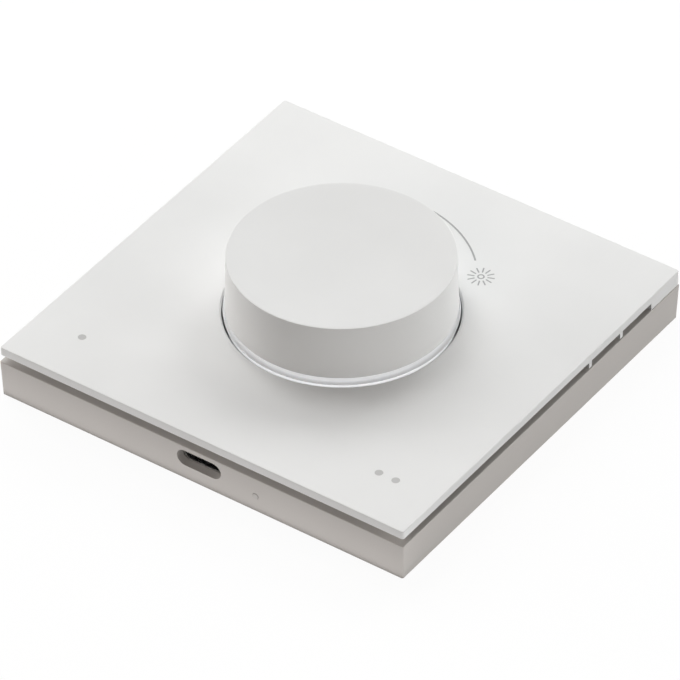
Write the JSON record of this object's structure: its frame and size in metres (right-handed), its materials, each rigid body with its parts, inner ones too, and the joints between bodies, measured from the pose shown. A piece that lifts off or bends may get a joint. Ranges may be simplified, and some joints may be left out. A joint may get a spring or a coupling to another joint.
{
  "type": "wireless rotary dimmer switch",
  "caption": "Flat square wall dimmer: a turning and pressing knob in a clear ring, on a thin tilting face plate over a shallow base with a charging port.",
  "frame": {"origin": "centre of the back face, on the wall", "axes": "+Z out of the wall along the knob's axis, +Y up the wall, away from the charging port, +X right"},
  "size_m": [0.0862, 0.0862, 0.0228],
  "materials": {
    "plate_plastic": "fine satin moulded white",
    "knob_plastic": "fine satin moulded white",
    "inner_plastic": "plain moulded",
    "base_plastic": "fine satin moulded warm grey",
    "clear_acrylic": "polished clear",
    "milky_acrylic": "milky",
    "pipe_acrylic": "milky",
    "black_plastic": "plain moulded",
    "plunger_plastic": "plain moulded",
    "socket_plastic": "natural nylon",
    "board_laminate": "solder mask",
    "ring_laminate": "white solder mask",
    "lamp_resin": "moulded resin",
    "plate_steel": "zinc plated",
    "port_steel": "drawn, tin plated",
    "screw_steel": "plated",
    "pin_steel": "bright",
    "die_cast": "bright",
    "contact_metal": "gilt",
    "magnet_plating": "nickel",
    "cell_foil": "foil",
    "pad_foam": "foam",
    "lead_sleeve": "soft",
    "pad_silicone": "soft"
  },
  "bodies": {
    "base": {"wall_plate": "plate_steel", "base_housing": "base_plastic", "hold_magnets": "magnet_plating", "main_board": "board_laminate", "board_screws": "screw_steel", "usb_shell": "port_steel", "usb_tongue": "black_plastic", "status_light_pipe": "pipe_acrylic", "status_lamp": "lamp_resin", "battery_cell": "cell_foil", "battery_pad": "pad_foam", "battery_leads": "lead_sleeve", "battery_plug": "socket_plastic", "battery_socket": "socket_plastic", "radio_module": "board_laminate", "radio_shield": "port_steel", "board_components": "black_plastic", "press_switch_bodies": "black_plastic", "encoder_case": "black_plastic", "encoder_bushing": "die_cast", "encoder_strap": "pin_steel", "encoder_pins": "contact_metal", "encoder_washer": "screw_steel", "encoder_nut": "screw_steel", "click_dome": "pin_steel", "chassis": "inner_plastic", "chassis_screws": "screw_steel", "hinge_pins": "pin_steel", "ring_board": "ring_laminate", "ring_lamps": "lamp_resin", "ring_header": "black_plastic", "ring_diffuser": "milky_acrylic", "light_ring": "clear_acrylic"},
    "plate": {"faceplate": "plate_plastic", "press_pads": "pad_silicone"},
    "plunger_left": {"press_plunger_left": "plunger_plastic"},
    "plunger_right": {"press_plunger_right": "plunger_plastic"},
    "push_actuator": {"push_plunger": "inner_plastic"},
    "knob": {"encoder_shaft": "die_cast", "retaining_ring": "pin_steel", "knob_carrier": "inner_plastic", "shaft_clip": "pin_steel", "knob_cap": "knob_plastic"}
  },
  "joints": [
    {"name": "plate_press", "type": "hinge", "parent": "base", "child": "plate", "pos_m": [0, 0.037, 0.0049], "axis": [1, 0, 0], "range_deg": [0, 0.412], "stiffness_Nm_per_rad": 8, "springref_deg": -0.86},
    {"name": "press_left", "type": "slide", "parent": "base", "child": "plunger_left", "axis": [0, 0, -1], "range_m": [0, 0.0005]},
    {"name": "press_right", "type": "slide", "parent": "base", "child": "plunger_right", "axis": [0, 0, -1], "range_m": [0, 0.0005]},
    {"name": "knob_push", "type": "slide", "parent": "base", "child": "push_actuator", "axis": [0, 0, -1], "range_m": [0, 0.0005], "stiffness_N_per_m": 3000, "springref_m": -0.001, "deforming": ["click_dome"]},
    {"name": "knob_spin", "type": "hinge", "parent": "push_actuator", "child": "knob", "pos_m": [0, 0, 0.0161], "axis": [0, 0, 1], "continuous": true}
  ],
  "couplings": [
    {"joint": "press_left", "follows": "plate_press", "m_per_rad": 0.0695},
    {"joint": "press_right", "follows": "plate_press", "m_per_rad": 0.0695}
  ]
}
